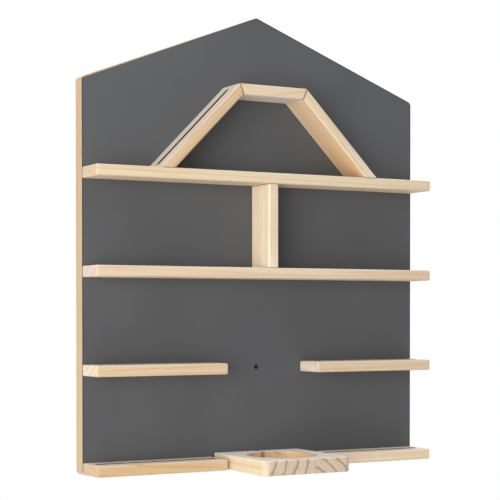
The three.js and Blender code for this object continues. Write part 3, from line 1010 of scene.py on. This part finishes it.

# Each strip: the two ends of the line that its outer face's back edge follows, its mitres as
# (angle, gap) at the start and at the end, and the pine that it is cut from.
# Each sawn_end is the end grain's greyer colour with painted light in it: lighter where a strip's
# left end lies in shade, darker where the lamps light it strongly
strips = {
    "top_shelf": (flat_strip("top_shelf"), None, dict(
        hearts=[(20, -70, 9)], drift=0.01, seed=1.0,
        pale=paint("e3d1b2"), warm=paint("dfc9a5"), deep=AMBER, line=0.31,
        sawn_end=paint("b5a58c"))),
    "middle_shelf": (flat_strip("middle_shelf"), None, dict(
        hearts=[(-35, -50, 12)], drift=-0.02, seed=2.0,
        pale=paint("e4d1b3"), warm=paint("dec5a9"), deep=AMBER, line=0.31,
        sawn_end=paint("b5b9b6"))),
    "lower_shelf_left": (flat_strip("lower_shelf_left"), None, dict(
        hearts=[(30, 60, 10)], drift=0.02, seed=3.0,
        pale=paint("dbc09e"), warm=paint("d7b68c"), deep=paint("ba8a58"), line=0.31,
        sawn_end=paint("ded9cf"))),
    "lower_shelf_right": (flat_strip("lower_shelf_right"), None, dict(
        hearts=[(10, -45, 11)], drift=-0.01, seed=4.0,
        pale=paint("dcc6a5"), warm=paint("ddc4a8"), deep=AMBER, line=0.31,
        sawn_end=paint("ebebe0"))),
    "bottom_shelf_left": (flat_strip("bottom_shelf_left"), None, dict(
        hearts=[(15, -50, 11)], drift=0.07, seed=5.0,
        pale=paint("d6ba90"), warm=paint("cea673"), deep=paint("b6824b"), line=0.43,
        sawn_end=paint("c0ac98"))),
    "bottom_shelf_right": (flat_strip("bottom_shelf_right"), None, dict(
        hearts=[(10, 70, 12)], drift=0.01, seed=6.0,
        pale=paint("f1ddc0"), warm=paint("ead1b1"), deep=AMBER, line=0.26)),
    "divider_post": (post_line, None, dict(
        hearts=[(200, 0, 7)], drift=0.02, seed=7.0, upper=None, lower=None,
        pale=paint("f6e8cd"), warm=paint("f3e0c1"), deep=paint("a9794f"), line=0.4)),
    # The left slope's outer face gets a grey painted sheen
    "roof_slope_left": ((left_foot, left_knee), (at_foot, at_knee), dict(
        hearts=[(15, -45, 8)], drift=0.02, seed=8.0, seams=[left_seam],
        pale=paint("d5bc98"), warm=paint("ceac7b"), deep=paint("bd8a55"), line=0.43, streak=0.4,
        upper=(paint("b9bcc0"), 0.5, 0))),
    # The roof top's underside gets a pale painted sheen
    "roof_top": ((left_knee, right_knee), (at_knee, at_knee), dict(
        hearts=[(20, -30, 10)], drift=-0.08, seed=9.0, seams=[left_seam, right_seam],
        lower=(PAINTED_SHEEN, 0.25, 0),
        pale=paint("e3cdae"), warm=paint("e2cab2"), deep=AMBER, line=0.31)),
    # The right slope's inner face gets painted warm shade, growing towards its foot
    "roof_slope_right": ((right_knee, right_foot), (at_knee, at_foot), dict(
        hearts=[(200, 0, 5.5)], drift=0.01, seed=10.0, seams=[right_seam],
        pale=paint("ebdec9"), warm=paint("e6d1ae"), deep=paint("9c6434"), line=0.62,
        lower=(paint("e9b373"), 0.45, 2.5))),
}

hole = screw_hole()
small_hole = hanger_screw_hole()
tape_black = tape_finish()

for name, ((start, end), mitres, wood) in strips.items():
    length = (end - start).length
    strip = planed_strip(f"{name}_strip", length, mitres)
    tape_node = f"tape_{name}"
    if tape_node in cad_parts:
        groove(strip, length - 2 * GROOVE_END)
        band = seat_strip(tape(f"{name}_tape", length - 2 * GROOVE_END), start, end)
        smooth(band)
        dress(band, tape_node, tape_black)
    seat_strip(strip, start, end)
    cut(strip, fastener_holes(hole, screw_nodes([name])))
    smooth(strip)
    dress(strip, name, strip_pine(f"pine_{name}", start, end, **wood))

# Holder, glued up from two boards, with its grain towards the viewer
holder_low, holder_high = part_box("base_holder")
ring_holder = holder("round_holder", hole)
smooth(ring_holder)
# The holder's top gets a pale painted sheen
holder_pine = pine(
    "pine_holder", (holder_low + holder_high) / 2, (0, 0, math.pi / 2),
    hearts=[(8.8, -52, 13.4), (72, 12, 14.3)], joints=[-10], drift=0.02, seed=12.0,
    pale=paint("e1d2b6"), warm=paint("ddc7a4"), deep=paint("8f6546"), sawn_end=paint("d0bfab"),
    line=0.22, end_line=0.72, streak=0.15, upper=(PAINTED_SHEEN, 0.45, 0),
    hollow=((holder_low + holder_high) / 2, RECESS_WIDTH / 2, "Z", paint("e8a868"), 0.3))
dress(ring_holder, "base_holder", holder_pine)

# Board and facing. The facing leaves a sliver of wood bare along the left gable.
wood_screws = screw_nodes([*strips, "holder"])
board = house_panel("board", "back_board", BOARD_ARRIS)
cut(board, [*fastener_holes(hole, wood_screws), wall_hole()])
for side in ("left", "right"):
    seat_hanger(board, side, small_hole)
smooth(board)
board_low, board_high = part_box("back_board")
# The board is glued up from eight staves. These places are in millimetres.
STAVE_WIDTH = 62.5
stave_joints = [i * STAVE_WIDTH for i in range(-3, 4)]
stave_hearts = [(-220, 34, 7), (-140, -60, 8), (-95, 40, 6), (-30, -52, 7.5),
                (28, 45, 6.5), (96, -48, 7), (150, 62, 8), (215, -40, 6)]
# Painted shade inside the wall hole
board_pine = pine(
    "pine_board", (board_low + board_high) / 2, (math.pi / 2, -math.pi / 2, 0),
    hearts=stave_hearts, joints=stave_joints, drift=0.03, seed=14.0,
    hollow=(hole_middle(), WALL_HOLE / 2, "Y", HOLE_SHADE, 1.0),
    pale=paint("c0a98a"), warm=paint("bd9f7c"), deep=paint("b48654"), line=0.27)
dress(board, "back_board", board_pine)

facing = house_panel("facing", "front_facing", FACING_ARRIS)
cut(facing, [*fastener_holes(hole, wood_screws), wall_hole()])
left_eave = Vector((board_low.x, 0, board_low.z + EAVE_HEIGHT - EAVE_SHOWS))
ridge = Vector((0, 0, board_low.z + RIDGE_HEIGHT - RIDGE_SHOWS))
up_gable = (ridge - left_eave).normalized()
saw(facing, left_eave, (-up_gable.z, 0, up_gable.x))
smooth(facing)
dress(facing, "front_facing", facing_finish())

# Screws and hangers
yellow_zinc = plated_finish("yellow_zinc", "c9b06a", "b99c58", "b8885f")
plain_zinc = plated_finish("plain_zinc", "c4c7ca", "aeb2b6", "b3b1a2")
screw = wood_screw()
for node in wood_screws:
    copy = copy_to(screw, f"wood_{node}", screw_place(node), BACKWARDS)
    dress(copy, node, yellow_zinc)
small_screw = hanger_screw()
for side in ("left", "right"):
    plate = hanger(side, small_hole)
    smooth(plate)
    dress(plate, f"hanger_{side}", plain_zinc)
    for node in hanger_screw_nodes(side):
        name = node.replace("hanger_screw_", "small_screw_")
        copy = copy_to(small_screw, name, screw_place(node), BACKWARDS)
        dress(copy, node, plain_zinc)
for pattern in (screw, small_screw, hole, small_hole):
    bpy.data.objects.remove(pattern)


# Floor, light and camera

FLOOR_DROP = 0.48  # from the shelf's lower edge to the floor
FLOOR_SIZE = 60
FLOOR_FADE = (0.9, 2.4)  # how far out the floor starts and ends turning into plain white
WHITE = (1, 1, 1)
ROOM_LEVEL = 0.28
LAMPS = {  # place, width, watts and colour
    "side_lamp": ((-2.4, -0.3, 0.4), 2.2, 20, WHITE),
    "top_lamp": ((0, -0.6, 3.0), 2.6, 68, (0.98, 0.98, 1.04)),
    "front_lamp": ((-1.85, -1.6, -0.25), 1.4, 40, WHITE),
    "back_lamp": ((0.9, 2.6, 0.5), 2.0, 34, WHITE),
}


def ray_kinds(finish):
    """1 for the rays that see the background itself, in the view, in metal and through glass."""
    rays = finish.node("ShaderNodeLightPath")
    seen = rays["Is Camera Ray"].maths("MAXIMUM", rays["Is Camera Ray"], rays["Is Glossy Ray"])
    return seen.maths("MAXIMUM", seen, rays["Is Transmission Ray"])


def lay_floor():
    """A wide pale floor that turns into the white of the room further out."""
    bpy.ops.object.select_all(action="DESELECT")
    level = packed_box[0].z - FLOOR_DROP
    bpy.ops.mesh.primitive_plane_add(size=FLOOR_SIZE, location=(0, 0, level))
    floor = settle(bpy.context.object)
    floor.name = "floor"
    material = bpy.data.materials.new("pale_floor")
    finish = Finish(material)
    place = finish.node("ShaderNodeTexCoord")["Object"]
    axes = finish.node("ShaderNodeSeparateXYZ", {}, {"Vector": place})
    distance = (axes["X"] * axes["X"] + axes["Y"] * axes["Y"]).root()
    seen = ray_kinds(finish)
    colour = finish.mix(seen, paint("e6e6e6"), paint("f4f4f4"))
    near = finish.node("ShaderNodeBsdfDiffuse", {}, {"Color": colour})
    far = finish.node("ShaderNodeEmission", {}, {"Color": (*WHITE, 1), "Strength": 1.0})
    share = seen * distance.rise(*FLOOR_FADE)
    shown = finish.node("ShaderNodeMixShader", {},
                        {"Fac": share, "Shader": near, "Shader_001": far})
    finish.node("ShaderNodeOutputMaterial", {}, {"Surface": shown}, output=None)
    floor.data.materials.append(material)


def softbox(name, place, size, power, colour):
    """A square lamp that faces the middle of the shelf."""
    target = (packed_box[0] + packed_box[1]) / 2
    lamp = bpy.data.lights.new(name, "AREA")
    lamp.size = size
    lamp.energy = power
    lamp.color = colour
    stand = bpy.data.objects.new(name, lamp)
    bpy.context.scene.collection.objects.link(stand)
    stand.location = place
    stand.rotation_euler = (target - Vector(place)).to_track_quat("-Z", "Y").to_euler()


def light_room(level):
    """An even pale room: white where it is seen, and of this level where it lights the shelf."""
    world = bpy.data.worlds.new("studio")
    bpy.context.scene.world = world
    finish = Finish(world)
    strength = ray_kinds(finish) * (1 - level) + level
    room = finish.node("ShaderNodeBackground", {}, {"Color": (*WHITE, 1), "Strength": strength})
    finish.node("ShaderNodeOutputWorld", {}, {"Surface": room}, output=None)


lay_floor()
light_room(ROOM_LEVEL)
for name, settings in LAMPS.items():
    softbox(name, *settings)

# The camera stands low and to the left of the shelf. The view is shifted up and to the side.
CAMERA_SENSOR = 36  # millimetres wide, as its lens is in millimetres
CAMERA_LENS = 101.95
CAMERA_SHIFT = (0.1556, 0.1875)
CAMERA_PLACE = (-0.9540, -1.6319, -0.2233)
CAMERA_TURN = math.radians(27.223)
CAMERA_RISE = math.radians(-1.072)
CAMERA_ROLL = math.radians(0.077)
camera = bpy.data.cameras.new("camera")
camera.sensor_width = CAMERA_SENSOR
camera.lens = CAMERA_LENS
camera.shift_x, camera.shift_y = CAMERA_SHIFT
camera_object = bpy.data.objects.new("camera", camera)
bpy.context.scene.collection.objects.link(camera_object)
camera_object.location = CAMERA_PLACE
camera_object.rotation_euler = (math.pi / 2 + CAMERA_RISE, CAMERA_ROLL, -CAMERA_TURN)
bpy.context.scene.camera = camera_object
bpy.context.scene.view_settings.view_transform = "Standard"
